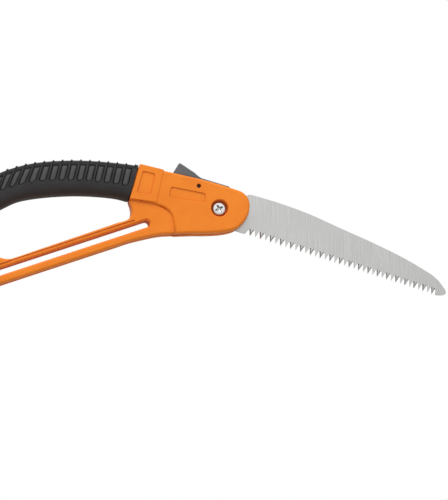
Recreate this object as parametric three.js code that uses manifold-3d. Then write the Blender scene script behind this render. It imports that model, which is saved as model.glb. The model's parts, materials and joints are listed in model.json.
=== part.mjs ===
// Folding pruning saw with a D-shaped handle.
// Millimetres, +Z up, blade open and pointing along +X with its teeth down.
// The near side of the saw faces -Y. The origin is the middle of the grip.
import * as THREE from 'three';
import { mergeVertices } from 'three/addons/utils/BufferGeometryUtils.js';
import Module from 'manifold-3d';

const wasm = await Module();
wasm.setup();

// ---------------------------------------------------------------- driving dimensions
// Outlines are drawn in side view, as (x, z) from the blade's pivot.
const PIVOT = { x: 130, z: -25 };          // the pivot, seen from the middle of the grip
const GAP = 0.3;                           // clearance between pieces that touch

const BODY_HALF = 11;                      // half thickness of the casing round the pivot
const COLLAR_HALF = 11.5;                  // half thickness of the collar next to the grip
const ARM_HALF = 9;                        // half thickness of the lower arm and the heel
const GRIP_HALF = 12.6;                    // half thickness of the rubber grip
const CORE_HALF = 9.8;                     // half thickness of the plastic core inside it
const CORE_INSET = 3;                      // rubber thickness above and below the core
const CORE_OVERLAP = 1.5;                  // the core runs this far into the heel
const CHANNEL_HALF = 2;                    // half width of the channel that takes the blade

const ARM_SLOPE = THREE.MathUtils.degToRad(19.5);   // the arm falls away to the rear
const ARM_TOP = 13.6;                      // top of the blade channel above the pivot line
const SLOT = { from: 60.6, to: 208, low: 4.2, high: 10.3 };
const SLOT_CHAMFER = 1.4;
const RAIL_GROOVE = { from: 72, to: 206, low: 12.4, high: 13.6, deep: 0.9 };
const HOLE_CHAMFER = 0.5;                  // round the pivot recess and the lever pin's hole
const PANEL_DEEP = 0.9;                    // depth of the frame panels and the label panel
const CHANNEL_END = 213;

const BLADE_SLOPE = THREE.MathUtils.degToRad(-16.7);
const BLADE_HALF = 0.65;
const TOOTH_LINE = -12.9;                  // tooth tips below the pivot, across the blade
const TOOTH_DEPTH = 5.6;
const TOOTH_COUNT = 39;
const TOOTH_START = 32.4;                  // tip of the first tooth along the blade
const TOOTH_PITCH = 4.606;                 // from the first tooth to the second
const PITCH_LOSS = 0.0154;                 // how much finer each pitch is than the last
const FOLD_ANGLE = THREE.MathUtils.degToRad(142.5);
const TANG_RADIUS = 13;
const NOTCH_ANGLE = THREE.MathUtils.degToRad(65);

const BUSH = { outer: 5, inner: 3.4 };
const BOLT = { shank: 3.1, head: 5.5, headThick: 2.2 };
const RECESS = { radius: 7.3, floor: 4.9 };  // round recess over the bolt head
const WASHER = { outer: 9.5, thick: 0.95 };
const NUT = { across: 10, thick: 4 };

const LEVER_PIN = { x: -17.8, z: 18.7, radius: 1.5, half: 8.6 };
const LEVER_HALF = 4.9;
const CATCH_HALF = 1.5;
const LATCH_DROP = THREE.MathUtils.degToRad(5.5);   // lever swing from clear to engaged
const STOP_PIN = { radius: 1.5, half: 7 };
const OPEN_STOP = { x: 15.6, z: 11.7 };
const FOLD_STOP = { x: -21.0, z: 7.6 };
const SPRING = { x: -33.2, low: 19.2, high: 26.2, radius: 2.5, wire: 0.4, turns: 5 };

const SCREW = { shank: 1.4, head: 3, headThick: 2, near: -6.5 };
const SCREWS = [[-60.5, 25.5], [-64, 8], [-217.5, -4.5], [-229, -40], [-222.5, -69]];

// ---------------------------------------------------------------- materials
function finish(color, roughness, metalness) {
  return new THREE.MeshStandardMaterial({ color, roughness, metalness });
}
const orange = finish(0xf08228, 0.42, 0);
const rubber = finish(0x343434, 0.75, 0);
const leverGrey = finish(0x5f6266, 0.5, 0);
const sawSteel = finish(0xc8c8c4, 0.34, 1);
const zinc = finish(0xd8d8d6, 0.25, 1);
const brass = finish(0xb08d4f, 0.4, 1);
const darkSteel = finish(0x4a4b4d, 0.45, 1);

// ---------------------------------------------------------------- solids and booleans
// A geometry as a manifold solid, with its shared corners merged.
function solid(geometry) {
  const bare = geometry.index ? geometry.toNonIndexed() : geometry.clone();
  for (const extra of ['normal', 'uv']) {
    bare.deleteAttribute(extra);
  }
  const merged = mergeVertices(bare, 1e-4);
  return new wasm.Manifold(new wasm.Mesh({
    numProp: 3,
    vertProperties: merged.attributes.position.array,
    triVerts: Uint32Array.from(merged.index.array),
  }));
}

function piece(name, body, material) {
  const cut = body.getMesh();
  const geometry = new THREE.BufferGeometry();
  geometry.setAttribute('position', new THREE.BufferAttribute(cut.vertProperties, 3));
  geometry.setIndex(new THREE.BufferAttribute(cut.triVerts, 1));
  geometry.computeVertexNormals();
  const mesh = new THREE.Mesh(geometry, material);
  mesh.name = name;
  return mesh;
}

// Unit steps into an outline at each of its corners, longer at the sharp ones so that
// both sides of a corner move in by the same distance.
function inwardSteps(outline) {
  const count = outline.length;
  return outline.map((here, i) => {
    const before = here.clone().sub(outline[(i + count - 1) % count]).normalize();
    const after = outline[(i + 1) % count].clone().sub(here).normalize();
    const share = 1 / Math.max(1 + before.dot(after), 0.4);
    return new THREE.Vector2(-(before.y + after.y) * share, (before.x + after.x) * share);
  });
}

// A side-view outline carried through the thickness from y = low to y = high. The edges
// of both faces are rounded: the round is bevel wide in the outline and depth deep along Y.
function slab(shape, low, high, bevel = 0, steps = 2, depth = bevel, curveSegments = 6) {
  const outline = shape.getPoints(curveSegments);
  if (outline[0].distanceTo(outline[outline.length - 1]) < 1e-6) {
    outline.pop();
  }
  if (THREE.ShapeUtils.isClockWise(outline)) {
    outline.reverse();
  }
  const inward = inwardSteps(outline);
  const turns = bevel > 0 ? steps : 0;
  const quarter = Array.from({ length: turns + 1 }, (_, i) => (i / steps) * (Math.PI / 2));
  const lower = quarter.map((t) => [low + depth * (1 - Math.cos(t)), bevel * (1 - Math.sin(t))]);
  const upper = quarter.map((t) => [high - depth * (1 - Math.cos(t)), bevel * (1 - Math.sin(t))]);
  const rings = [...lower, ...upper.reverse()];
  const count = outline.length;
  const positions = rings.flatMap(([y, moved]) => outline.flatMap((corner, i) => [
    corner.x + inward[i].x * moved, y, corner.y + inward[i].y * moved,
  ]));
  const lastRing = (rings.length - 1) * count;
  const faces = THREE.ShapeUtils.triangulateShape(outline, []).flatMap(([a, b, c]) => [
    a, b, c, lastRing + a, lastRing + c, lastRing + b,
  ]);
  for (let ring = 0; ring < lastRing; ring += count) {
    for (let i = 0; i < count; i += 1) {
      const next = (i + 1) % count;
      faces.push(ring + i, ring + count + next, ring + next);
      faces.push(ring + i, ring + count + i, ring + count + next);
    }
  }
  const geometry = new THREE.BufferGeometry();
  geometry.setAttribute('position', new THREE.Float32BufferAttribute(positions, 3));
  geometry.setIndex(faces);
  return solid(geometry);
}

function rod(x, z, radius, low, high, sides = 24) {
  const geometry = new THREE.CylinderGeometry(radius, radius, high - low, sides);
  geometry.translate(x, (low + high) / 2, z);
  return solid(geometry);
}

function block(x0, x1, y0, y1, z0, z1) {
  const geometry = new THREE.BoxGeometry(x1 - x0, y1 - y0, z1 - z0);
  geometry.translate((x0 + x1) / 2, (y0 + y1) / 2, (z0 + z1) / 2);
  return solid(geometry);
}

// ---------------------------------------------------------------- outline helpers
const point = ([x, z]) => new THREE.Vector2(x, z);

function through(shape, points) {
  shape.splineThru(points.map(point));
}

function polygon(points) {
  return new THREE.Shape(points.map(point));
}

// A closed outline with straight sides and corners rounded off.
function rounded(points, radius) {
  const corners = points.map(point);
  const shape = new THREE.Shape();
  corners.forEach((corner, i) => {
    const before = corners[(i + corners.length - 1) % corners.length];
    const after = corners[(i + 1) % corners.length];
    const start = corner.clone().add(before.clone().sub(corner).setLength(radius));
    const end = corner.clone().add(after.clone().sub(corner).setLength(radius));
    if (i === 0) {
      shape.moveTo(start.x, start.y);
    } else {
      shape.lineTo(start.x, start.y);
    }
    shape.quadraticCurveTo(corner.x, corner.y, end.x, end.y);
  });
  return shape;
}

// A place given along and across a line that leaves the pivot at an angle.
function along(angle, distance, across) {
  return [
    distance * Math.cos(angle) - across * Math.sin(angle),
    distance * Math.sin(angle) + across * Math.cos(angle),
  ];
}

// The arm runs to the rear, so its own frame is the mirror of the blade's.
function armPoint(distance, above) {
  const [x, z] = along(-ARM_SLOPE, distance, 0);
  return [-x - above * Math.sin(ARM_SLOPE), z + above * Math.cos(ARM_SLOPE)];
}

const bladePoint = (distance, across) => along(BLADE_SLOPE, distance, across);

function turned([x, z], centre, angle) {
  const dx = x - centre.x;
  const dz = z - centre.z;
  return [
    centre.x + dx * Math.cos(angle) - dz * Math.sin(angle),
    centre.z + dx * Math.sin(angle) + dz * Math.cos(angle),
  ];
}

function circlePoints(radius, from, to, count) {
  return Array.from({ length: count + 1 }, (_, i) => {
    const angle = from + ((to - from) * i) / count;
    return [radius * Math.cos(angle), radius * Math.sin(angle)];
  });
}

// ---------------------------------------------------------------- casing outlines
function bodyShape() {
  const shape = new THREE.Shape();
  shape.moveTo(-68.2, 35.9);
  shape.lineTo(-60, 34.1);
  through(shape, [[-47, 31.2], [-16.4, 24.8], [0.7, 20.4], [14, 16.6]]);
  shape.bezierCurveTo(22, 14.4, 25.9, 10.2, 26, 2.8);
  shape.bezierCurveTo(26.1, -5.4, 21.4, -12.6, 14.6, -17);
  shape.bezierCurveTo(7, -21.2, -8, -21.6, -22, -21.8);
  shape.lineTo(-38.4, -22.6);
  shape.lineTo(-39, -13);
  through(shape, [[-41.4, -6], [-47.3, -0.6], [-58.5, 3.2], [-68, 4.8]]);
  shape.lineTo(-76.7, 5.8);
  return shape;
}

function collarShape() {
  return rounded([[-68.1, 36.4], [-47.6, 31.9], [-53.8, 3.5], [-76.6, 6.4]], 1);
}

function armShape() {
  const shape = new THREE.Shape();
  shape.moveTo(-32, -8);
  shape.lineTo(-35, -22.1);
  shape.lineTo(-41, -22.6);
  through(shape, [[-48.9, -23.2], [-57.5, -24.8], [-74.6, -29.2], armPoint(92, -2.6)]);
  shape.lineTo(...armPoint(232, -2.6));
  shape.bezierCurveTo(-232, -84.6, -238, -75, -237.6, -60);
  through(shape, [[-236.4, -38], [-231, -18], [-221, -0.6], [-212.4, 9.4]]);
  shape.lineTo(-208.7, 13.6);
  shape.lineTo(-191.4, -8.4);
  shape.lineTo(-196.4, -12.2);
  through(shape, [[-200.4, -15.6], [-205.4, -25], [-203.6, -34.6], [-196.4, -40.9], [-186.6, -45]]);
  shape.bezierCurveTo(-180.6, -47.3, -177.4, -47.4, -172, -45.2);
  shape.lineTo(-86, -13.8);
  through(shape, [[-79.4, -11.8], [-75.7, -8.8], [-74.7, -4], [-75.2, 0.2]]);
  shape.lineTo(-76.8, 5.2);
  shape.lineTo(-70, 12);
  return shape;
}

// The grip's top line, over the crests of its ribs, and its bottom line. They run on past
// both of its ends, which are cut to the joint lines afterwards.
const GRIP_TOP = [[-56, 34.2], [-69, 37], [-93, 39.4], [-117, 40.4], [-141, 39.3],
  [-162, 36.2], [-181, 30.3], [-197, 22.3], [-209, 13], [-220, 2.2]];
const GRIP_BOTTOM = [[-202, -18], [-191.4, -8.4], [-180, -1.2], [-167, 4.2], [-144, 8],
  [-118, 9.6], [-92, 8.4], [-77.4, 5.4], [-62, 1]];

// The inset moves both lines towards each other.
function inset(points, distance) {
  return points.map(([x, z], i) => {
    const [ax, az] = points[Math.max(i - 1, 0)];
    const [bx, bz] = points[Math.min(i + 1, points.length - 1)];
    const length = Math.hypot(bx - ax, bz - az);
    return [x - (distance * (bz - az)) / length, z + (distance * (bx - ax)) / length];
  });
}

function gripShape(distance) {
  const top = inset(GRIP_TOP, distance);
  const bottom = inset(GRIP_BOTTOM, distance);
  const shape = new THREE.Shape();
  shape.moveTo(...top[0]);
  through(shape, top.slice(1));
  shape.lineTo(...bottom[0]);
  through(shape, bottom.slice(1));
  return shape;
}

const FRONT_JOINT = [[-68.4, 36.2], [-77, 5.4]];
const REAR_JOINT = [[-191.2, -8.7], [-209, 13.9]];

// Everything on the left of the line from the first point to the second.
function sideOf([first, second], shift = 0) {
  const dx = second[0] - first[0];
  const dz = second[1] - first[1];
  const length = Math.hypot(dx, dz);
  const ux = dx / length;
  const uz = dz / length;
  const corner = (s, t) => [
    first[0] + ux * s - uz * (t + shift),
    first[1] + uz * s + ux * (t + shift),
  ];
  return slab(polygon([corner(-60, 0), corner(90, 0), corner(90, 60), corner(-60, 60)]), -40, 40);
}

// ---------------------------------------------------------------- the space for the blade
function channelShape() {
  const clear = TANG_RADIUS + 1.2;
  const shape = new THREE.Shape();
  shape.moveTo(...armPoint(CHANNEL_END, -30));
  shape.lineTo(...armPoint(CHANNEL_END, ARM_TOP - 4));
  shape.lineTo(...armPoint(CHANNEL_END - 4, ARM_TOP));
  shape.lineTo(...armPoint(34, ARM_TOP));
  shape.lineTo(-32.4, 5.4);
  shape.lineTo(-25.5, 9.4);
  shape.lineTo(-15, 11.7);
  for (const [x, z] of circlePoints(clear, 2.2, 0.95, 9)) {
    shape.lineTo(x, z);
  }
  shape.lineTo(20.4, 12.2);
  shape.lineTo(34, 17);
  shape.lineTo(40, -60);
  return shape;
}

// ---------------------------------------------------------------- lock lever outlines
const NOSE_ROOT = 16.4;
const NOSE_TIP = 11.2;

// The catch's nose where it sits in the tang's notch: it tapers towards the pivot.
function nosePoints(clearance) {
  const wide = 3.1 + clearance;
  const narrow = 2.0 + clearance;
  return [
    along(NOTCH_ANGLE, NOSE_ROOT, -wide),
    along(NOTCH_ANGLE, NOSE_TIP - clearance, -narrow),
    along(NOTCH_ANGLE, NOSE_TIP - clearance, narrow),
    along(NOTCH_ANGLE, NOSE_ROOT, wide),
  ];
}

// The lever and its catch are drawn clear of the tang, so the nose is turned up.
function raisedNose() {
  return nosePoints(0).map((corner) => turned(corner, LEVER_PIN, LATCH_DROP));
}

function leverShape() {
  const shape = new THREE.Shape();
  shape.moveTo(-39.4, 30.2);
  shape.lineTo(-34.4, 38.4);
  shape.quadraticCurveTo(-33.6, 39.4, -32.4, 38.7);
  shape.lineTo(-20.2, 30.8);
  shape.quadraticCurveTo(-17.6, 28, -14.8, 26.6);
  shape.lineTo(8.6, 20);
  shape.lineTo(9.6, 19.1);
  shape.lineTo(9.4, 17.8);
  shape.lineTo(-6, 19.5);
  shape.lineTo(-13.6, 17.2);
  shape.absarc(LEVER_PIN.x, LEVER_PIN.z, 4.4, -0.35, -2.5, true);
  shape.lineTo(-25, 20.8);
  shape.lineTo(-29.4, 26.6);
  shape.lineTo(-38.2, 26.6);
  return shape;
}

function catchShape() {
  const [rootLow, tipLow, tipHigh, rootHigh] = raisedNose();
  return polygon([
    [-20.8, 16.6], [-17.4, 15.4], [-13.4, 16.4], [-5.4, 17.6],
    rootHigh, tipHigh, tipLow, rootLow,
    [7.6, 18.4], [-6, 21.7], [-16.2, 22.4], [-20.6, 21],
  ]);
}

// ---------------------------------------------------------------- casing pieces
function leverRoom() {
  const well = polygon([
    [-43.6, 40], [-43.6, 23.6], [-38.5, 17], [-25, 17], [-22, 13.4], [-12.8, 13.1],
    [-5, 15.3], [9.6, 14.5], [13.4, 17.2], [13.4, 40],
  ]);
  const nosePassage = polygon([[-2.5, 11], [-2.5, 20], [12.4, 20], [12.4, 9]]);
  return slab(well, -LEVER_HALF - 0.6, LEVER_HALF + 0.6)
    .add(slab(nosePassage, -CHANNEL_HALF, CHANNEL_HALF));
}

function casingShell() {
  let shell = slab(bodyShape(), -BODY_HALF, BODY_HALF, 2.4, 4, 2.4, 9);
  shell = shell.add(slab(collarShape(), -COLLAR_HALF, COLLAR_HALF, 0.6));
  shell = shell.add(slab(armShape(), -ARM_HALF, ARM_HALF, 2.2, 4, 2.2, 8));
  const core = slab(gripShape(CORE_INSET), -CORE_HALF, CORE_HALF, 6, 2, 6, 3);
  return shell.add(core.subtract(sideOf(REAR_JOINT, CORE_OVERLAP)));
}

// The slot's outline, grown all round for the chamfer where it meets the arm's faces.
function slotShape(grow) {
  const mid = (SLOT.low + SLOT.high) / 2;
  const end = (SLOT.high - SLOT.low) / 2;
  const radius = end + grow;
  const shape = new THREE.Shape();
  const front = armPoint(SLOT.from + end, mid);
  const rear = armPoint(SLOT.to - end, mid);
  const up = Math.PI / 2 + ARM_SLOPE;
  shape.absarc(front[0], front[1], radius, up, up - Math.PI, true);
  shape.absarc(rear[0], rear[1], radius, up - Math.PI, up - 2 * Math.PI, true);
  return shape;
}

// The shallow groove that splits the arm's upper rail into two ridges.
function railGroove(side) {
  const { from, to, low, high, deep } = RAIL_GROOVE;
  const groove = polygon([
    armPoint(from, low), armPoint(to, low), armPoint(to, high), armPoint(from, high),
  ]);
  const inner = side * (ARM_HALF - deep);
  return slab(groove, Math.min(inner, side * 12), Math.max(inner, side * 12));
}

function framePanel() {
  return rounded([[-65.6, 30.3], [-54.9, 28], [-58.8, 10.4], [-70.6, 11.9]], 1.8);
}

function labelPanel() {
  return rounded([[-41.6, 17.4], [-12.2, 12.2], [-12.2, 4.6], [-43.2, 8.4]], 2);
}

const CIRCLE_SEGMENTS = 20;

function circle(x, z, radius) {
  const shape = new THREE.Shape();
  shape.absarc(x, z, radius, 0, 2 * Math.PI);
  return shape;
}

// A straight chamfer where an opening meets the face at y = side * half. The outline is
// the opening's, grown by the chamfer's size.
function chamfer(shape, side, half, size) {
  const reach = half + 8;
  const [low, high] = side < 0 ? [-reach, size - half] : [half - size, reach];
  return slab(shape, low, high, size, 1, size, CIRCLE_SEGMENTS);
}

function screwRoom(x, z) {
  const head = BODY_HALF + 4;
  return rod(x, z, SCREW.shank + GAP, SCREW.near - GAP, head, 12)
    .add(rod(x, z, SCREW.head + GAP, 5.2, head, 18));
}

function casing() {
  let shell = casingShell();
  shell = shell.subtract(slab(channelShape(), -CHANNEL_HALF, CHANNEL_HALF));
  shell = shell.subtract(leverRoom());
  shell = shell.subtract(slab(slotShape(0), -20, 20, 0, 1, 0, CIRCLE_SEGMENTS));
  const recessMouth = circle(0, 0, RECESS.radius + HOLE_CHAMFER);
  const pinMouth = circle(LEVER_PIN.x, LEVER_PIN.z, LEVER_PIN.radius + GAP + HOLE_CHAMFER);
  for (const side of [-1, 1]) {
    shell = shell.subtract(railGroove(side));
    shell = shell.subtract(chamfer(slotShape(SLOT_CHAMFER), side, ARM_HALF, SLOT_CHAMFER));
    shell = shell.subtract(chamfer(recessMouth, side, BODY_HALF, HOLE_CHAMFER));
    shell = shell.subtract(chamfer(pinMouth, side, BODY_HALF, HOLE_CHAMFER));
  }
  shell = shell.subtract(slab(framePanel(), -20, -COLLAR_HALF + PANEL_DEEP));
  shell = shell.subtract(slab(framePanel(), COLLAR_HALF - PANEL_DEEP, 20));
  shell = shell.subtract(slab(labelPanel(), -20, -BODY_HALF + PANEL_DEEP));
  shell = shell.subtract(rod(0, 0, BUSH.outer + GAP, -20, 20, 28));
  const recess = circle(0, 0, RECESS.radius);
  shell = shell.subtract(slab(recess, -20, -RECESS.floor, 0, 1, 0, CIRCLE_SEGMENTS));
  shell = shell.subtract(slab(recess, RECESS.floor, 20, 0, 1, 0, CIRCLE_SEGMENTS));
  const pinReach = LEVER_PIN.half + 4;
  shell = shell.subtract(rod(LEVER_PIN.x, LEVER_PIN.z, LEVER_PIN.radius + GAP, -pinReach, pinReach, 16));
  for (const stop of [OPEN_STOP, FOLD_STOP]) {
    const reach = STOP_PIN.half + GAP;
    shell = shell.subtract(rod(stop.x, stop.z, STOP_PIN.radius + GAP, -reach, reach, 16));
  }
  shell = shell.subtract(
    block(SPRING.x - 3.6, SPRING.x + 3.6, -3.6, 3.6, SPRING.low - GAP, SPRING.high),
  );
  for (const [x, z] of SCREWS) {
    shell = shell.subtract(screwRoom(x, z));
  }
  return shell;
}

// The half on the -Y side (side = -1) or the +Y side (side = 1) of the middle plane.
function half(body, side) {
  const seam = GAP / 2;
  const [low, high] = side < 0 ? [-seam, 60] : [-60, seam];
  return body.subtract(block(-300, 300, low, high, -300, 300));
}

function grip() {
  const outer = slab(gripShape(0), -GRIP_HALF, GRIP_HALF, 9, 5, 9.5, 3);
  return outer
    .subtract(slab(gripShape(CORE_INSET - GAP), -CORE_HALF - GAP, CORE_HALF + GAP, 6, 2, 6, 3))
    .subtract(sideOf(FRONT_JOINT, -GAP))
    .subtract(sideOf(REAR_JOINT, -GAP));
}

// ---------------------------------------------------------------- blade
const RIM_END = 0.86;                      // where the tang's rim runs into the blade, radians
const RIM_START = BLADE_SLOPE - 1.62;

function spineShape() {
  const shape = new THREE.Shape();
  shape.moveTo(...along(RIM_END, TANG_RADIUS, 0));
  shape.lineTo(20.6, 9.4);
  shape.quadraticCurveTo(23.4, 10.4, 24.6, 12.6);
  shape.quadraticCurveTo(25.8, 14.3, 28.6, 13.8);
  through(shape, [
    [53, 7], [79, -2], [104.6, -13.1], [130.2, -24], [155.9, -35.9], [173.1, -45.2], [184, -51.8],
  ]);
  shape.bezierCurveTo(190, -56, 195.6, -63, 197, -67);
  shape.bezierCurveTo(196, -69, 194, -69.8, 191.4, -69.8);
  shape.lineTo(...bladePoint(199.4, TOOTH_LINE));
  shape.lineTo(...bladePoint(199, TOOTH_LINE + 3.4));
  return shape;
}

// Each tooth leans back a little towards the handle, because the saw cuts on the pull.
// They get a little finer towards the tip.
function addTeeth(shape) {
  const root = TOOTH_LINE + TOOTH_DEPTH;
  for (let i = TOOTH_COUNT - 1; i >= 0; i -= 1) {
    const tip = TOOTH_START + i * TOOTH_PITCH - (i * i * PITCH_LOSS) / 2;
    const pitch = TOOTH_PITCH - i * PITCH_LOSS;
    shape.lineTo(...bladePoint(tip + pitch * 0.52, root));
    shape.lineTo(...bladePoint(tip + pitch * 0.44, root));
    shape.lineTo(...bladePoint(tip, TOOTH_LINE));
  }
  shape.lineTo(...bladePoint(TOOTH_START - TOOTH_PITCH * 0.46, root));
}

function bladePlate() {
  const shape = spineShape();
  addTeeth(shape);
  shape.lineTo(...bladePoint(27.6, -12.7));
  shape.quadraticCurveTo(...bladePoint(24, -12.9), ...bladePoint(19, -12.9));
  for (const [x, z] of circlePoints(TANG_RADIUS, RIM_START, RIM_END - 2 * Math.PI, 34)) {
    shape.lineTo(x, z);
  }
  return slab(shape, -BLADE_HALF, BLADE_HALF);
}

function blade() {
  let plate = bladePlate();
  const notch = nosePoints(0.4);
  for (const angle of [0, FOLD_ANGLE]) {
    const corners = notch.map((corner) => turned(corner, { x: 0, z: 0 }, angle));
    plate = plate.subtract(slab(polygon(corners), -5, 5));
  }
  return plate.subtract(rod(0, 0, BUSH.outer + 0.2, -5, 5, 28));
}

// ---------------------------------------------------------------- pivot hardware
function tube(outer, inner, low, high, sides) {
  return rod(0, 0, outer, low, high, sides).subtract(rod(0, 0, inner, low - 1, high + 1, sides));
}

function pivotBolt() {
  const seat = -RECESS.floor - GAP;
  const front = seat - BOLT.headThick;
  const nutEnd = RECESS.floor + 1.2 + NUT.thick;
  const slotHalf = 0.55;
  return rod(0, 0, BOLT.head, front, seat, 32)
    .add(rod(0, 0, BOLT.shank, seat - 1, nutEnd, 24))
    .subtract(block(-4, 4, front - 1, front + 1.4, -slotHalf, slotHalf))
    .subtract(block(-slotHalf, slotHalf, front - 1, front + 1.4, -4, 4));
}

function pivotNut() {
  const low = RECESS.floor + 1.2;
  return rod(0, 0, NUT.across / Math.sqrt(3), low, low + NUT.thick, 6)
    .subtract(rod(0, 0, BOLT.shank + GAP, low - 1, low + NUT.thick + 1, 24));
}

function washer(side) {
  const inner = BLADE_HALF + 0.2;
  const [low, high] = side < 0 ? [-inner - WASHER.thick, -inner] : [inner, inner + WASHER.thick];
  return tube(WASHER.outer, BUSH.outer + 0.2, low, high, 28);
}

// A casing screw: pan head with a cross slot on the far side, shank towards the near side.
function casingScrew(x, z) {
  const seat = 5.2 + GAP;
  const top = seat + SCREW.headThick;
  return rod(x, z, SCREW.head, seat, top, 18)
    .add(rod(x, z, SCREW.shank, SCREW.near, seat + 0.5, 12))
    .subtract(block(x - 1.8, x + 1.8, top - 0.9, top + 1, z - 0.35, z + 0.35))
    .subtract(block(x - 0.35, x + 0.35, top - 0.9, top + 1, z - 1.8, z + 1.8));
}

// ---------------------------------------------------------------- lock pieces
const RIVET = { x: -8.6, z: 20.1, radius: 1.1 };

function lockLever() {
  const pinHole = rod(LEVER_PIN.x, LEVER_PIN.z, LEVER_PIN.radius + GAP, -20, 20, 16);
  const rivetHole = rod(RIVET.x, RIVET.z, RIVET.radius + GAP, -20, 20, 12);
  const plateRoom = polygon([
    [-23, 24], [-23, 12], [14, 8], [14, 18.6], [-5.6, 22.8], [-15.6, 23.6],
  ]);
  let lever = slab(leverShape(), -LEVER_HALF, LEVER_HALF, 0.7, 2);
  lever = lever.subtract(slab(plateRoom, -CATCH_HALF - GAP, CATCH_HALF + GAP));
  return lever.subtract(pinHole).subtract(rivetHole);
}

function lockCatch() {
  return slab(catchShape(), -CATCH_HALF, CATCH_HALF)
    .subtract(rod(LEVER_PIN.x, LEVER_PIN.z, LEVER_PIN.radius + GAP, -5, 5, 16))
    .subtract(rod(RIVET.x, RIVET.z, RIVET.radius + GAP, -5, 5, 12));
}

class SpringCurve extends THREE.Curve {
  getPoint(t, target = new THREE.Vector3()) {
    const angle = t * SPRING.turns * 2 * Math.PI;
    const rise = SPRING.low + SPRING.wire + t * (SPRING.high - SPRING.low - 2 * SPRING.wire);
    return target.set(
      SPRING.x + SPRING.radius * Math.cos(angle),
      SPRING.radius * Math.sin(angle),
      rise,
    );
  }
}

function leverSpring() {
  const section = polygon(circlePoints(SPRING.wire, 0, 2 * Math.PI, 6).slice(0, 6));
  return solid(new THREE.ExtrudeGeometry(section, {
    extrudePath: new SpringCurve(),
    steps: SPRING.turns * 14,
    bevelEnabled: false,
  }));
}

// ---------------------------------------------------------------- the assembly
const saw = new THREE.Group();
const fromPivot = new THREE.Group();
fromPivot.position.set(PIVOT.x, 0, PIVOT.z);
saw.add(fromPivot);

const shell = casing();
const rubberGrip = grip();
const pin = (place, radius, reach) => rod(place.x, place.z, radius, -reach, reach, 16);

fromPivot.add(
  piece('near_casing', half(shell, -1), orange),
  piece('far_casing', half(shell, 1), orange),
  piece('near_grip', half(rubberGrip, -1), rubber),
  piece('far_grip', half(rubberGrip, 1), rubber),
  piece('blade', blade(), sawSteel),
  piece('pivot_bolt', pivotBolt(), zinc),
  piece('pivot_bush', tube(BUSH.outer, BUSH.inner, -RECESS.floor, RECESS.floor, 28), brass),
  piece('near_washer', washer(-1), brass),
  piece('far_washer', washer(1), brass),
  piece('nut_washer', tube(6.4, BOLT.shank + GAP, RECESS.floor + GAP, RECESS.floor + 0.9, 24), zinc),
  piece('pivot_nut', pivotNut(), zinc),
  piece('lock_lever', lockLever(), leverGrey),
  piece('lock_catch', lockCatch(), darkSteel),
  piece('catch_rivet', rod(RIVET.x, RIVET.z, RIVET.radius, -LEVER_HALF + 0.2, LEVER_HALF - 0.2, 12), zinc),
  piece('lever_pin', pin(LEVER_PIN, LEVER_PIN.radius, LEVER_PIN.half), darkSteel),
  piece('lever_spring', leverSpring(), zinc),
  piece('open_stop_pin', pin(OPEN_STOP, STOP_PIN.radius, STOP_PIN.half), darkSteel),
  piece('fold_stop_pin', pin(FOLD_STOP, STOP_PIN.radius, STOP_PIN.half), darkSteel),
  ...SCREWS.map(([x, z], i) => piece(`casing_screw_${i + 1}`, casingScrew(x, z), zinc)),
);

export default saw;
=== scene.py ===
"""Folding pruning saw with a D-shaped handle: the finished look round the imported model.

Lengths in the sections are millimetres, measured from the blade's pivot as (x, y, z):
x towards the blade's tip, z up, and y through the thickness with the near side at -y.
"""

import json
import math

import bmesh
import bpy
import numpy as np
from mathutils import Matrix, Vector
from mathutils.geometry import tessellate_polygon
from mathutils.kdtree import KDTree


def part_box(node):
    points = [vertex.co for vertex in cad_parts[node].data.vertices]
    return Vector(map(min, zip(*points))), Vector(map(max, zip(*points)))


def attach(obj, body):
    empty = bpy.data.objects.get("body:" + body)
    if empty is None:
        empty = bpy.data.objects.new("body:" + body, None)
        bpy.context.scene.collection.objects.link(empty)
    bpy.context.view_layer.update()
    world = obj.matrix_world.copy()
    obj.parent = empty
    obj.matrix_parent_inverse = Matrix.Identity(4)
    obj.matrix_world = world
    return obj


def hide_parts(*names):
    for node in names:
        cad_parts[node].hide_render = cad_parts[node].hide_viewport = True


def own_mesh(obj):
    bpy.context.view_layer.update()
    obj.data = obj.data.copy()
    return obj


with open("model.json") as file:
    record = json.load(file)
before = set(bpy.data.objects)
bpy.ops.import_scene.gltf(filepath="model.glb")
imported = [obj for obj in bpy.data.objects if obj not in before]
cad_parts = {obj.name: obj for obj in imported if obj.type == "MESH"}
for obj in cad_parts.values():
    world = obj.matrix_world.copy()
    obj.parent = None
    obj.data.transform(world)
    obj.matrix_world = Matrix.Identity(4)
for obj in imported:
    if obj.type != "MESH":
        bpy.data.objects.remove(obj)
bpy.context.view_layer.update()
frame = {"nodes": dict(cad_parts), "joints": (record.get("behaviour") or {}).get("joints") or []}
scene = bpy.context.scene

# ---------------------------------------------------------------- camera
# A long lens a little below and to the left of the saw, so that the undersides of the
# slot and the grip show. The rear of the handle runs out of the frame.
MM = 0.001
PIVOT = np.array(next(joint["pos_m"] for joint in frame["joints"] if joint["name"] == "blade_fold"))
VIEW_AZIMUTH = math.radians(-7.5)
VIEW_ELEVATION = math.radians(-9)
VIEW_HEIGHT = 425 * MM
AIM = (5.1, 0, -34.3)
LENS = 200.0
SENSOR = 36.0


def place(points):
    """Millimetres from the pivot to metres in the saw's own frame."""
    return np.asarray(points, float) * MM + PIVOT


def face_along(thing, direction):
    """Turns a camera or a lamp so that it looks along a direction, upright."""
    thing.rotation_mode = "QUATERNION"
    thing.rotation_quaternion = direction.to_track_quat("-Z", "Y")


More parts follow.
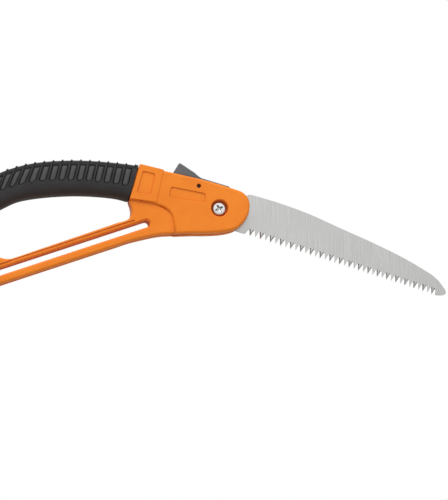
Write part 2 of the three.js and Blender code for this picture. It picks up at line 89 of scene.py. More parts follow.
back = Vector((
    math.sin(VIEW_AZIMUTH) * math.cos(VIEW_ELEVATION),
    -math.cos(VIEW_AZIMUTH) * math.cos(VIEW_ELEVATION),
    math.sin(VIEW_ELEVATION),
))
camera = bpy.data.objects.new("camera", bpy.data.cameras.new("camera"))
scene.collection.objects.link(camera)
camera.data.lens = LENS
camera.data.sensor_width = SENSOR
camera.location = Vector(place(AIM)) + back * (VIEW_HEIGHT * LENS / SENSOR)
face_along(camera, -back)
scene.camera = camera

# ---------------------------------------------------------------- room
# A pale floor well below the saw, a room that looks pure white behind the saw but lights
# it more from above than from below, and three soft lamps: above, ahead and behind.
FLOOR_DROP = 0.56
FLOOR_REACH = 15.0
FLOOR_COLOUR = (0.52, 0.48, 0.44, 1)
ROOM_COLOUR = (0.95, 0.97, 1.0, 1)
ROOM_ABOVE, ROOM_BELOW = 0.74, 0.09
ROOM_FADE = (-0.12, 0.14)                  # the heights between which one becomes the other


def lay(name, mesh):
    """Puts a finished mesh in the scene, at the origin and unturned."""
    thing = bpy.data.objects.new(name, mesh)
    scene.collection.objects.link(thing)
    return thing


floor_mesh = bpy.data.meshes.new("floor")
floor_mesh.from_pydata(
    [(x * FLOOR_REACH, y * FLOOR_REACH, -FLOOR_DROP)
     for x, y in ((-1, -1), (1, -1), (1, 1), (-1, 1))],
    [], [(0, 1, 2, 3)],
)
floor = lay("floor", floor_mesh)


def blank(name, **constants):
    """A new material, its tree and its shader, with the shader's constants set."""
    made = bpy.data.materials.new(name)
    made.use_nodes = True
    shader = made.node_tree.nodes["Principled BSDF"]
    for socket, value in constants.items():
        shader.inputs[socket.replace("_", " ")].default_value = value
    return made, made.node_tree, shader


floor_paint = blank("floor_paint", Base_Color=FLOOR_COLOUR, Roughness=0.9)[0]
floor_mesh.materials.append(floor_paint)


def feed(tree, made, inputs):
    """Puts a value or a link on each of a node's named inputs."""
    for socket, value in inputs.items():
        if isinstance(value, bpy.types.NodeSocket):
            tree.links.new(value, made.inputs[socket])
        else:
            made.inputs[socket].default_value = value


def wire(tree, kind, inputs=None, **settings):
    """A new shader node with its settings, and with values or links on its inputs."""
    made = tree.nodes.new("ShaderNode" + kind)
    for setting, value in settings.items():
        setattr(made, setting, value)
    feed(tree, made, inputs or {})
    return made


room = bpy.data.worlds.new("room")
room.use_nodes = True
scene.world = room
sky = room.node_tree
sky_light = sky.nodes["Background"]
sky_light.inputs["Color"].default_value = ROOM_COLOUR
sky_way = wire(sky, "SeparateXYZ", {0: wire(sky, "TexCoord").outputs["Generated"]})
sky_fall = wire(sky, "MapRange", {
    "Value": sky_way.outputs["Z"], "From Min": ROOM_FADE[0], "From Max": ROOM_FADE[1],
    "To Min": ROOM_BELOW, "To Max": ROOM_ABOVE})
sky.links.new(sky_fall.outputs["Result"], sky_light.inputs["Strength"])
sky_seen = wire(sky, "Background", {"Color": (1, 1, 1, 1), "Strength": 1.0})
sky_ray = wire(sky, "LightPath")
sky_mix = wire(sky, "MixShader", {
    0: sky_ray.outputs["Is Camera Ray"], 1: sky_light.outputs[0], 2: sky_seen.outputs[0],
})
sky.links.new(sky_mix.outputs[0], sky.nodes["World Output"].inputs["Surface"])
scene.view_settings.view_transform = "Standard"


def softbox(name, spot, size, power):
    """A square area lamp at a spot in metres, facing the saw."""
    lamp = bpy.data.objects.new(name, bpy.data.lights.new(name, "AREA"))
    lamp.data.size = size
    lamp.data.energy = power
    lamp.location = spot
    face_along(lamp, Vector(place(AIM)) - Vector(spot))
    scene.collection.objects.link(lamp)


softbox("lamp_above", (-0.3, -1.3, 1.6), size=1.0, power=24)
softbox("lamp_ahead", (0.4, -1.9, 0.4), size=1.2, power=3)
softbox("lamp_behind", (0.2, 1.7, 1.2), size=1.2, power=12)

# ---------------------------------------------------------------- casing halves
# Two orange glass-filled nylon shells, moulded with the core of the grip and the long
# lower arm in one piece, and held together by five screws. Their mould edges are broken.
EDGE_BREAK = 0.35
MERGE = 0.01                               # corners closer than this are one corner
FLAT_ANGLE = math.radians(0.4)             # faces that turn less than this are one face
EDGE_ANGLE = math.radians(38)
CORNER_CLEAR = 1.5                         # edges stay crisp this close to where they meet others


def group(name, inputs, outputs):
    """A new shader node group with its named sockets, and its two end nodes."""
    tree = bpy.data.node_groups.new(name, "ShaderNodeTree")
    for socket, kind in inputs.items():
        tree.interface.new_socket(socket, in_out="INPUT", socket_type="NodeSocket" + kind)
    for socket, kind in outputs.items():
        tree.interface.new_socket(socket, in_out="OUTPUT", socket_type="NodeSocket" + kind)
    return tree, tree.nodes.new("NodeGroupInput").outputs, tree.nodes.new("NodeGroupOutput").inputs


def moulded_grain():
    """Height: fine pimples of a spark-eroded mould. Mottle: slow drift of the colour.
    Specks: rare dots."""
    tree, given, result = group(
        "moulded_grain", {"Scale": "Float"},
        {"Height": "Float", "Mottle": "Float", "Specks": "Float"})
    spot = wire(tree, "TexCoord").outputs["Object"]
    pimples = wire(tree, "TexNoise", {
        "Vector": spot, "Scale": given["Scale"], "Detail": 3.0, "Roughness": 0.6})
    slow = wire(tree, "TexNoise", {
        "Vector": spot, "Scale": 45.0, "Detail": 4.0, "Roughness": 0.55})
    dots = wire(tree, "TexNoise", {"Vector": spot, "Scale": 1300.0, "Detail": 1.0})
    rare = wire(tree, "MapRange", {
        "Value": dots.outputs["Fac"], "From Min": 0.71, "From Max": 0.79})
    tree.links.new(pimples.outputs["Fac"], result["Height"])
    tree.links.new(slow.outputs["Fac"], result["Mottle"])
    tree.links.new(rare.outputs["Result"], result["Specks"])
    return tree


def edge_wear():
    """Mask: 1 on outer edges, where a rounded normal leaves the true one, broken up by noise."""
    tree, given, result = group(
        "edge_wear", {"Width": "Float", "Amount": "Float"}, {"Mask": "Float"})
    rounded = wire(tree, "Bevel", {"Radius": given["Width"]}, samples=6)
    true_normal = wire(tree, "NewGeometry").outputs["Normal"]
    match = wire(
        tree, "VectorMath", {0: rounded.outputs[0], 1: true_normal}, operation="DOT_PRODUCT")
    edge = wire(tree, "MapRange", {
        "Value": match.outputs["Value"], "From Min": 0.97, "From Max": 0.72})
    spot = wire(tree, "TexCoord").outputs["Object"]
    patchy = wire(tree, "TexNoise", {"Vector": spot, "Scale": 320.0, "Detail": 4.0})
    patches = wire(tree, "MapRange", {
        "Value": patchy.outputs["Fac"], "From Min": 0.4, "From Max": 0.62})
    worn = wire(
        tree, "Math", {0: edge.outputs["Result"], 1: patches.outputs["Result"]},
        operation="MULTIPLY")
    scaled = wire(tree, "Math", {0: worn.outputs[0], 1: given["Amount"]}, operation="MULTIPLY")
    tree.links.new(scaled.outputs[0], result["Mask"])
    return tree


def crevice_shade():
    """Mask for painted shade: 1 deep in corners and gaps, where little light reaches, with a soft
    patchy edge.
    """
    tree, given, result = group(
        "crevice_shade", {"Reach": "Float", "Amount": "Float"}, {"Mask": "Float"})
    # Painted shade: occlusion marks the corners and gaps whose colour is darkened to stand in for
    # shadow.
    openness = wire(tree, "AmbientOcclusion", {"Distance": given["Reach"]}, samples=8)
    deep = wire(tree, "MapRange", {
        "Value": openness.outputs["AO"], "From Min": 0.95, "From Max": 0.4})
    spot = wire(tree, "TexCoord").outputs["Object"]
    patchy = wire(tree, "TexNoise", {"Vector": spot, "Scale": 210.0, "Detail": 3.0})
    soft = wire(tree, "MapRange", {
        "Value": patchy.outputs["Fac"], "From Min": 0.2, "From Max": 0.7, "To Min": 0.55})
    patchy_shade = wire(
        tree, "Math", {0: deep.outputs["Result"], 1: soft.outputs["Result"]},
        operation="MULTIPLY")
    scaled = wire(tree, "Math", {0: patchy_shade.outputs[0], 1: given["Amount"]}, operation="MULTIPLY")
    tree.links.new(scaled.outputs[0], result["Mask"])
    return tree


GRAIN, WEAR, CREVICE_SHADE = moulded_grain(), edge_wear(), crevice_shade()


def effect(tree, made_group, **inputs):
    """One of the shared groups placed in a material, with its own values or links."""
    placed = tree.nodes.new("ShaderNodeGroup")
    placed.node_tree = made_group
    feed(tree, placed, inputs)
    return placed.outputs


def blend_colour(tree, share, first, second):
    """The colour between two, by a mask: 0 gives the first and 1 the second."""
    mixed = wire(tree, "Mix", {"Factor": share, "A": first, "B": second}, data_type="RGBA")
    return mixed.outputs[2]


def drifting_tone(tree, grain, dark, light):
    """A moulding's own colour, which drifts from dark to light with the grain's mottle."""
    tone = wire(tree, "ValToRGB", {"Fac": grain["Mottle"]})
    for stop, position, colour in zip(tone.color_ramp.elements, (0.3, 0.7), (dark, light)):
        stop.position, stop.color = position, colour
    return tone.outputs["Color"]


def aged(tree, colour, wear, painted_shade):
    """A colour with worn edges and painted shade in its corners. Wear and shade each give a width
    in millimetres, an amount, and the colour that is left or painted there."""
    width, amount, bare = wear
    worn = effect(tree, WEAR, Width=width * MM, Amount=amount)["Mask"]
    # The second tuple paints shade: a dark colour laid into corners and gaps by occlusion.
    reach, amount, shade_colour = painted_shade
    shade_mask = effect(tree, CREVICE_SHADE, Reach=reach * MM, Amount=amount)["Mask"]
    return blend_colour(tree, shade_mask, blend_colour(tree, worn, colour, bare), shade_colour)


def join(tree, shader, colour, rough, height, strength, depth):
    """Links a material's colour and roughness to its shader, and its bump, whose full depth
    is in millimetres."""
    bump = wire(tree, "Bump", {"Height": height, "Strength": strength, "Distance": depth * MM})
    feed(tree, shader, {
        "Base Color": colour,
        "Roughness": rough.outputs["Result"],
        "Normal": bump.outputs["Normal"]})


GRAIN_DEPTH = 0.05


def orange_nylon():
    """Satin orange moulding: fine grain, drifting tone, paler worn edges and painted shade, a dark
    red-orange, in its corners."""
    made, tree, shader = blank("orange_nylon", Specular_IOR_Level=0.2)
    grain = effect(tree, GRAIN, Scale=2600.0)
    tone = drifting_tone(tree, grain, (0.84, 0.216, 0.015, 1), (0.90, 0.248, 0.019, 1))
    # Painted shade: deep red-orange darkens corners, recess walls and ledges within 5 mm.
    used = aged(tree, tone, (0.5, 0.55, (0.95, 0.42, 0.14, 1)), (5, 0.75, (0.52, 0.06, 0.006, 1)))
    speckled = blend_colour(tree, grain["Specks"], used, (0.62, 0.15, 0.02, 1))
    rough = wire(tree, "MapRange", {"Value": grain["Mottle"], "To Min": 0.36, "To Max": 0.52})
    join(tree, shader, speckled, rough, grain["Height"], 0.25, GRAIN_DEPTH)
    return made


def moulding(name, node, edge_break=EDGE_BREAK):
    """A merged copy of a node's mesh: flat faces are made whole, then sharp edges are broken
    wherever they run on without meeting others."""
    shape = bmesh.new()
    shape.from_mesh(frame["nodes"][node].data)
    weight = shape.edges.layers.float.new("bevel_weight_edge")
    bmesh.ops.remove_doubles(shape, verts=shape.verts, dist=MERGE * MM)
    bmesh.ops.dissolve_limit(
        shape, angle_limit=FLAT_ANGLE, verts=shape.verts, edges=shape.edges)
    sharp = {edge for edge in shape.edges if edge.calc_face_angle(0) > EDGE_ANGLE}
    meetings = KDTree(len(shape.verts))
    on_line = set()
    for index, vert in enumerate(shape.verts):
        lines = sum(edge in sharp for edge in vert.link_edges)
        if lines == 2:
            on_line.add(vert)
        elif lines:
            meetings.insert(vert.co, index)
    meetings.balance()
    for edge in sharp:
        clear = all(
            vert in on_line and meetings.find(vert.co)[2] > CORNER_CLEAR * MM
            for vert in edge.verts)
        edge[weight] = float(clear and edge.is_convex)
    mesh = bpy.data.meshes.new(name)
    shape.to_mesh(mesh)
    shape.free()
    mesh.materials.clear()
    mesh.shade_smooth()
    thing = lay(name, mesh)
    broken = thing.modifiers.new("broken_edges", "BEVEL")
    broken.width = edge_break * MM
    broken.segments = 2
    broken.limit_method = "WEIGHT"
    broken.use_clamp_overlap = False
    even = thing.modifiers.new("even_faces", "WEIGHTED_NORMAL")
    even.keep_sharp = True
    return thing


def fit(piece, body, node, finish):
    """The finished piece takes its node's place, on its body, in its finish."""
    piece.data.materials.append(finish)
    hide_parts(node)
    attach(piece, body)


orange = orange_nylon()
for side in ("near", "far"):
    node = f"{side}_casing"
    fit(moulding(f"{side}_shell", node), "handle", node, orange)

# ---------------------------------------------------------------- grip halves
# Soft black rubber moulded over the handle's core in two halves. Raised ribs cross its
# top, with a round-ended pocket pressed into each side between every two of them.
GRIP_TOP = [[-56, 34.2], [-69, 37], [-93, 39.4], [-117, 40.4], [-141, 39.3],
            [-162, 36.2], [-181, 30.3], [-197, 22.3], [-209, 13], [-220, 2.2]]
GRIP_BOTTOM = [[-202, -18], [-191.4, -8.4], [-180, -1.2], [-167, 4.2], [-144, 8],
               [-118, 9.6], [-92, 8.4], [-77.4, 5.4], [-62, 1]]
GRIP_FRONT = {"top": -68.7, "bottom": -77.3}
GRIP_REAR = {"top": -208.8, "bottom": -191.0}
GRIP_LENGTH = 139                          # along its middle line
GRIP_HALF = 12.3
GRIP_TALL = 15                             # half the usual height of a section
GRIP_ROWS, GRIP_COLUMNS = 440, 76
FINE_TURNS = 4001                          # for even spacing round a section
GRIP_ROUND = 3.1                           # squareness of the outer section
RUBBER = 2.8                               # thickness of the rubber over the core
CORE_ROUND = 4.0
SEAM = 0.15                                # each half stops this far from the middle
CREST = 1.0                                # height of the ribs over the top
RIB_PITCH = 7.72
FIRST_RIB = -71.3
LAST_RIB = 15
RIB_HALF = 0.62
RIB_EDGE = 0.35                            # half the width of a rib's slope
RIB_SHARE = {"crest": 0.7, "side": 0.3}    # of the height, over the top and down the side
RIB_LEAN = {"front": 13, "added": 10.5, "from": -138, "to": -178}
RIB_BEND = {"by": 1.2, "within": 4}
RIBBED_TO = LAST_RIB + 0.11                # the rear edge of the last pocket
POCKET = {"half": 2.8, "deep": 1.0, "from": 4.4, "to": 19.0, "edge": 0.28, "crown": 0.35}
POCKET_TAPER = {"by": 0.03, "level_at": -130}   # the pockets get shorter towards the rear
GROOVE = {"deep": 0.4, "half": 0.3}
END_ROUND = 0.6
END_DROP = 0.45


def curve_through(points, steps=12):
    """Points on a smooth line through the given ones: each span is the cubic whose end
    slopes are half the step between the neighbours on either side (Catmull-Rom)."""
    points = np.asarray(points, float)
    before = np.concatenate([points[:1], points[:-1]])
    after = np.concatenate([points[1:], points[-1:]])
    slope = (after - before) / 2
    t = np.linspace(0, 1, steps, endpoint=False)[None, :, None]
    start, end = points[:-1, None], points[1:, None]
    span = (
        (2 * t**3 - 3 * t**2 + 1) * start + (t**3 - 2 * t**2 + t) * slope[:-1, None]
        + (3 * t**2 - 2 * t**3) * end + (t**3 - t**2) * slope[1:, None]
    )
    return np.concatenate([span.reshape(-1, points.shape[1]), points[-1:]])


def ease(value, start, end):
    """0 up to start, 1 from end on, and a smooth S between them. It runs down if end < start."""
    share = np.clip((value - start) / (end - start), 0, 1)
    return share * share * (3 - 2 * share)


def height_at(line, x):
    """The height of a line over x, for a line that runs one way along x."""
    order = np.argsort(line[:, 0])
    return np.interp(x, line[order, 0], line[order, 1])


def surface(name, *sheets, sharp=32, masks=None):
    """A closed mesh from sheets of points, each rows x columns x 3 in millimetres from the
    pivot. Neighbours on a sheet make its faces, and edges that meet are merged. A mask is a
    number for each point, kept for the material."""
    corners, faces, start = [], [], 0
    for sheet in sheets:
        rows, columns = sheet.shape[:2]
        index = start + np.arange(rows * columns).reshape(rows, columns)
        faces.append(np.stack(
            [index[:-1, :-1], index[1:, :-1], index[1:, 1:], index[:-1, 1:]], -1).reshape(-1, 4))
        corners.append(place(sheet.reshape(-1, 3)))
        start += rows * columns
    mesh = bpy.data.meshes.new(name)
    mesh.from_pydata(np.concatenate(corners), [], np.concatenate(faces).tolist())
    for mask, values in (masks or {}).items():
        kept = mesh.attributes.new(mask, "FLOAT", "POINT")
        kept.data.foreach_set("value", values.astype(np.float32))
    return closed(mesh, sharp)


def closed(mesh, sharp):
    """Seams and poles merged, faces turned outwards, and round stretches shaded smooth."""
    shape = bmesh.new()
    shape.from_mesh(mesh)
    bmesh.ops.remove_doubles(shape, verts=shape.verts, dist=1e-7)
    bmesh.ops.dissolve_degenerate(shape, dist=1e-8, edges=shape.edges)
    bmesh.ops.recalc_face_normals(shape, faces=shape.faces)
    shape.to_mesh(mesh)
    shape.free()
    mesh.shade_smooth()
    mesh.set_sharp_from_angle(angle=math.radians(sharp))
    return lay(mesh.name, mesh)


def rib_phase(x, below):
    """How many ribs lie ahead of a place on the side, by its x and its depth below the top
    line. The ribs lean forward at the top, more so towards the rear, and bend at the crest."""
    leaning = ease(x, RIB_LEAN["from"], RIB_LEAN["to"])
    lean = np.radians(RIB_LEAN["front"] + RIB_LEAN["added"] * leaning)
    bent = RIB_BEND["by"] * ease(below, 0, RIB_BEND["within"])
    return (FIRST_RIB - (x + np.tan(lean) * below + bent)) / RIB_PITCH


def grip_relief(x, z, top):
    """How far the rubber stands out at (x, z) on its side. A rib is a narrow ridge at each
    whole phase, high over the crest and low down the side. A pocket is a long round-ended
    dip at each half phase, with steep walls, a groove at their foot and a crowned floor.
    The second result is 1 on a pocket's floor, and the third is where shade is painted: in the
    grooves and along the crest."""
    below = height_at(top, x) - z
    phase = rib_phase(x, below)
    used = (phase > -0.5) & (phase < RIBBED_TO)
    off_rib = np.abs(phase - np.round(phase))
    ridge = ease(off_rib * RIB_PITCH, RIB_HALF + RIB_EDGE, RIB_HALF - RIB_EDGE)
    over_crest, down_side = ease(below, 5.5, 2.0), ease(below, 17.5, 15)
    rib_height = CREST * (RIB_SHARE["crest"] * over_crest + RIB_SHARE["side"] * down_side)
    across = np.where(phase > 0, (0.5 - off_rib) * RIB_PITCH, RIB_PITCH)
    taper = (x - POCKET_TAPER["level_at"]) * POCKET_TAPER["by"]
    past_end = np.maximum(below - (POCKET["to"] + taper - POCKET["half"]), 0)
    wall = np.hypot(across, past_end) - POCKET["half"]
    wall = np.maximum(wall, POCKET["from"] - below)
    floor = ease(wall, POCKET["edge"], -POCKET["edge"])
    crown = POCKET["crown"] * ease(wall, -GROOVE["half"], -POCKET["half"])
    groove = np.exp(-((wall + GROOVE["half"]) / GROOVE["half"]) ** 2)
    dip = floor * (crown - GROOVE["deep"] * groove - POCKET["deep"])
    relief = ridge * rib_height * (floor < 0.5) + dip
    # Painted shade: the grooves and the band over the crest are marked to be coloured near black.
    on_crest = ease(below, POCKET["from"] + 0.6, POCKET["from"] - 1)
    groove_crest_shade = np.maximum(groove, 0.7 * on_crest)
    return relief * used, ease(wall, -0.4, -0.8) * used, groove_crest_shade * used


def grip_half(name, side):
    """One half. Its section is a rounded oblong, |across/width|^n + |up/height|^n = 1, set
    on lines that join the grip's top and bottom curves. The inside is the same, smaller."""
    top, bottom = curve_through(GRIP_TOP), curve_through(GRIP_BOTTOM)
    along = np.linspace(0, 1, GRIP_ROWS)[:, None]
    turn = np.linspace(-np.pi / 2, np.pi / 2, FINE_TURNS)
    out_step = np.diff(GRIP_HALF * np.cos(turn).clip(0) ** (2 / GRIP_ROUND))
    up_step = np.diff(
        GRIP_TALL * np.sign(turn) * np.abs(np.sin(turn)) ** (2 / GRIP_ROUND))
    walked = np.concatenate([[0], np.cumsum(np.hypot(out_step, up_step))])
    turn = np.interp(np.linspace(0, walked[-1], GRIP_COLUMNS), walked, turn)[None, :]
    top_x = GRIP_FRONT["top"] + (GRIP_REAR["top"] - GRIP_FRONT["top"]) * along
    bottom_x = GRIP_FRONT["bottom"] + (GRIP_REAR["bottom"] - GRIP_FRONT["bottom"]) * along
    high = np.concatenate([top_x, height_at(top, top_x) - CREST * ease(along, 0.0, 0.02)], 1)
    low = np.concatenate([bottom_x, height_at(bottom, bottom_x)], 1)
    middle, half_height = (high + low) / 2, np.linalg.norm(high - low, axis=1) / 2
    up = (high - low) / (2 * half_height[:, None])

    def section(inset, squareness):
        """The section's points and the outward direction at each of them."""
        width, height = GRIP_HALF - inset, (half_height - inset)[:, None]
        across = width * np.cos(turn).clip(0) ** (2 / squareness)
        rise = height * np.sign(turn) * np.abs(np.sin(turn)) ** (2 / squareness)
        out = (across / width) ** (squareness - 1) / width
        lift = np.sign(rise) * np.abs(rise / height) ** (squareness - 1) / height
        length = np.hypot(out, lift)
        x = middle[:, :1] + up[:, :1] * rise
        z = middle[:, 1:] + up[:, 1:] * rise
        return x, across, z, out / length, lift / length

    x, across, z, out, lift = section(0, GRIP_ROUND)
    crest_top = top - np.array([0, CREST])
    relief, *masks = grip_relief(x, z, crest_top)
    ends = np.minimum(along, 1 - along) * GRIP_LENGTH
    relief = relief * ease(ends, 0.2, 1.0) - END_DROP * np.exp(-(ends / END_ROUND) ** 2)
    outer = np.stack([
        x + relief * lift * up[:, :1],
        side * np.maximum(across + relief * out, SEAM),
        z + relief * lift * up[:, 1:],
    ], -1)
    x, across, z = section(RUBBER, CORE_ROUND)[:3]
    inner = np.stack([x, side * np.maximum(np.broadcast_to(across, x.shape), SEAM), z], -1)
    round_trip = np.concatenate([outer, inner[:, ::-1], outer[:, :1]], 1)
    caps = [np.stack([outer[row], inner[row]]) for row in (0, -1)]
    masks = {
        mask: np.pad(np.concatenate([values, 0 * values, values[:, :1]], 1).ravel(),
                     (0, sum(cap[..., 0].size for cap in caps)))
        for mask, values in zip(("pocket", "groove_crest_shade"), masks)}
    return surface(name, round_trip, *caps, sharp=50, masks=masks)


def black_rubber():
    """Soft dark rubber: dull, finely pimpled, greyer where hands rub the raised parts, with shade
    painted near black in its grooves, along its crest and in its corners.
    """
    made, tree, shader = blank("black_rubber", Specular_IOR_Level=0.22)
    grain = effect(tree, GRAIN, Scale=3400.0)
    tone = drifting_tone(tree, grain, (0.027, 0.026, 0.027, 1), (0.037, 0.035, 0.035, 1))
    # The second colour is painted shade, laid near black in the pockets' grooves and over the
    # crest.
    for mask, colour in (
        ("pocket", (0.074, 0.073, 0.073, 1)),
        ("groove_crest_shade", (0.007, 0.007, 0.007, 1)),
    ):
        share = wire(tree, "Attribute", attribute_name=mask).outputs["Fac"]
        tone = blend_colour(tree, share, tone, colour)
    # The second tuple paints shade near black into corners and gaps.
    used = aged(tree, tone, (0.7, 0.5, (0.14, 0.14, 0.14, 1)), (2.5, 0.9, (0.010, 0.010, 0.011, 1)))
    rough = wire(tree, "MapRange", {"Value": grain["Mottle"], "To Min": 0.5, "To Max": 0.68})
    join(tree, shader, used, rough, grain["Height"], 0.35, GRAIN_DEPTH)
    return made


rubber = black_rubber()
for side, name in ((-1, "near"), (1, "far")):
    fit(grip_half(f"{name}_rubber", side), "handle", f"{name}_grip", rubber)

# ---------------------------------------------------------------- blade
# One plate of ground spring steel with fine grind lines across it. Its teeth are cut as
# narrow triangles and sharpened by a bevel on the near side and the far side in turn.
BLADE_SLOPE = math.radians(-16.7)
BLADE_HALF = 0.65
BROKEN = 0.22                              # the flat sides' edges are broken by this much
TOOTH = {"line": -12.9, "deep": 5.6, "count": 39, "start": 32.4, "pitch": 4.606, "loss": 0.0154}
TOOTH_BEVEL = 1.25
FOOT_SHIFT, POINT_SHIFT = (0.75, 0.1), (0.08, 2.1)     # of a bevelled flank's two ends
GULLET, FLANK_FOOT = 0.5, 0.44             # shares of the pitch from a tooth's middle
TIP_HALF = 0.12
TANG = 13.0
BUSH_HOLE = 5.2
NOTCHES = (65.0, 207.5)                    # for the lock with the blade open and folded
NOTCH = {"rim": 12.74, "floor": 10.8, "mouth_half": 2.6, "floor_half": 2.4}
NOTCH_CLEAR = 12                           # degrees of rim left out round each notch
SHOULDER_ANGLE = 49.3                      # where the spine leaves the tang's rim
HEEL_ANGLE, RIM_END = -109.5, -309         # where the rim begins and ends, going clockwise
SPINE = [[28.6, 13.8], [53, 7], [79, -2], [104.6, -13.1], [130.2, -24], [155.9, -35.9],
         [173.1, -45.2], [184, -51.8]]


def blade_point(distance, across):
    """A place given along and across the blade, as (x, z)."""
    distance, across = np.broadcast_arrays(distance, across)
    return np.stack([
        distance * math.cos(BLADE_SLOPE) - across * math.sin(BLADE_SLOPE),
        distance * math.sin(BLADE_SLOPE) + across * math.cos(BLADE_SLOPE),
    ], -1)


def arc(radius, start, end, step=3.0):
    """Points on a circle round the pivot, from one angle to another in degrees."""
    count = max(2, int(abs(end - start) / step) + 1)
    angle = np.radians(np.linspace(start, end, count))
    return np.stack([radius * np.cos(angle), radius * np.sin(angle)], -1)


def bend(start, pull, end, steps=8):
    """A quadratic curve from start to end, drawn towards the point between them."""
    t = np.linspace(0, 1, steps + 1)[1:, None]
    start, pull, end = (np.asarray(corner, float) for corner in (start, pull, end))
    return (1 - t) ** 2 * start + 2 * t * (1 - t) * pull + t**2 * end


def notch(angle):
    """The four corners of a lock notch in the tang's rim, clockwise: it narrows inwards."""
    turn = math.radians(angle)
    radius = np.array([NOTCH["rim"], NOTCH["floor"], NOTCH["floor"], NOTCH["rim"]])
    mouth, floor = NOTCH["mouth_half"], NOTCH["floor_half"]
    sideways = np.array([mouth, floor, -floor, -mouth])
    return np.stack([
        radius * math.cos(turn) - sideways * math.sin(turn),
        radius * math.sin(turn) + sideways * math.cos(turn),
    ], -1)


def tooth_outline():
    """The teeth from the blade's tip back to the handle, five points each: two on the
    gullet's floor, the flank's foot, and the two corners of the narrow tip. The second
    result says how far each point moves (along, across) where its tooth is bevelled, and
    the third which tooth it is on."""
    number = np.arange(TOOTH["count"])[::-1, None]
    tip = TOOTH["start"] + number * TOOTH["pitch"] - number**2 * TOOTH["loss"] / 2
    pitch = TOOTH["pitch"] - number * TOOTH["loss"]
    places = np.array([[GULLET, FLANK_FOOT, 0, 0, -FLANK_FOOT]])
    along = tip + places * pitch + np.array([[0, 0, TIP_HALF, -TIP_HALF, 0]])
    root, point = TOOTH["line"] + TOOTH["deep"], TOOTH["line"]
    across = np.broadcast_to(np.array([root, root, point, point, root]), along.shape)
    (foot_along, foot_up), (point_along, point_up) = FOOT_SHIFT, POINT_SHIFT
    shift = np.array([
        [0, 0], [-foot_along, foot_up], [-point_along, point_up], [point_along, point_up],
        [foot_along, foot_up]]) * TOOTH_BEVEL
    shift = np.broadcast_to(shift, along.shape + (2,))
    points = blade_point(along, across).reshape(-1, 2)
    return points, shift.reshape(-1, 2), np.repeat(number[:, 0], 5)


def spine_outline():
    """From the tang's rim over the blade's shoulder, along the spine and round the tip."""
    shoulder = np.concatenate([
        arc(TANG, SHOULDER_ANGLE, SHOULDER_ANGLE)[:1], [[20.6, 9.4]],
        bend((20.6, 9.4), (23.4, 10.4), (24.6, 12.6)),
        bend((24.6, 12.6), (25.8, 14.3), SPINE[0])])
    nose = np.concatenate([
        bend(SPINE[-1], (191.5, -56.8), (196.6, -66)),
        bend((196.6, -66), (197.4, -69.8), (191.4, -69.8))])
    foot = blade_point([199.4, 199.0], [TOOTH["line"], TOOTH["line"] + 3.4])
    return np.concatenate([shoulder, curve_through(SPINE)[1:], nose, foot])


def tang_outline():
    """The round tang from the heel of the teeth back to the spine, with its two notches."""
    heel = np.concatenate([
        blade_point([30.3, 27.6], [TOOTH["line"] + TOOTH["deep"], -12.7]),
        bend(blade_point(27.6, -12.7), blade_point(24, -12.9), blade_point(19, -12.9))])
    for_open, for_folded = (angle - 360 for angle in NOTCHES)
    rim = np.concatenate([
        arc(TANG, HEEL_ANGLE, for_folded + NOTCH_CLEAR), notch(for_folded),
        arc(TANG, for_folded - NOTCH_CLEAR, for_open + NOTCH_CLEAR), notch(for_open),
        arc(TANG, for_open - NOTCH_CLEAR, RIM_END)])
    return np.concatenate([heel, rim])


def inward(outline):
    """Unit steps into a clockwise outline, square to the line through each point's
    neighbours."""
    ahead = np.roll(outline, -1, 0) - np.roll(outline, 1, 0)
    ahead /= np.linalg.norm(ahead, axis=1)[:, None]
    return np.stack([ahead[:, 1], -ahead[:, 0]], -1)


def ring(outline, y):
    """An outline in side view set at one depth through the thickness."""
    return np.stack([outline[:, 0], np.full(len(outline), y), outline[:, 1]], -1)


def saw_blade():
    """Four copies of the outline from the near face to the far face, joined edge to edge.
    On a face, each tooth that is bevelled there is drawn in, and so its flanks slope."""
    spine, (teeth, shift, number), tang = spine_outline(), tooth_outline(), tang_outline()
    outline = np.concatenate([spine, teeth, tang])
    step = inward(outline) * BROKEN
    toothed = slice(len(spine), len(spine) + len(teeth))
    step[toothed] = 0
    drawn_in = np.zeros_like(outline)
    drawn_in[toothed] = blade_point(shift[:, 0], shift[:, 1])
    near = np.zeros(len(outline), bool)
    near[toothed] = number % 2 == 0
    hole = arc(BUSH_HOLE, 0, 360, 6)[:-1]
    hole_step = hole / BUSH_HOLE * BROKEN
    rings, holes = [], []
    for y, chamfer in (
        (-BLADE_HALF, 1), (BROKEN - BLADE_HALF, 0), (BLADE_HALF - BROKEN, 0), (BLADE_HALF, 1),
    ):
        to_near, to_far = 0.5 - y / (2 * BLADE_HALF), 0.5 + y / (2 * BLADE_HALF)
        share = np.where(near, to_near, to_far)[:, None]
        rings.append(ring(outline + step * chamfer + drawn_in * share, y))
        holes.append(ring(hole + hole_step * chamfer, y))
    return capped("saw_plate", np.stack(rings), np.stack(holes), sharp=14)


def capped(name, rings, holes, sharp):
    """A plate whose edge and hole are walls of quads from ring to ring, and whose two flat
    faces are the first and last ring filled in round the hole."""
    count, hole_count = rings.shape[1], holes.shape[1]
    corners = np.concatenate([rings.reshape(-1, 3), holes.reshape(-1, 3)])
    faces = []
    for start, points in ((0, count), (rings.shape[0] * count, hole_count)):
        index = start + np.arange(rings.shape[0] * points).reshape(-1, points)
        after = np.roll(index, -1, 1)
        walls = np.stack([index[:-1], index[1:], after[1:], after[:-1]], -1)
        faces += walls.reshape(-1, 4).tolist()
    first_hole = rings.shape[0] * count
    for row in (0, rings.shape[0] - 1):
        index = np.concatenate([
            row * count + np.arange(count),
            first_hole + row * hole_count + np.arange(hole_count)])
        loops = [
            [Vector(corner) for corner in loop[:, (0, 2, 1)]] for loop in (rings[row], holes[row])]
        faces += [[int(index[i]) for i in face] for face in tessellate_polygon(loops)]
    mesh = bpy.data.meshes.new(name)
    mesh.from_pydata(place(corners), [], faces)
    return closed(mesh, sharp)


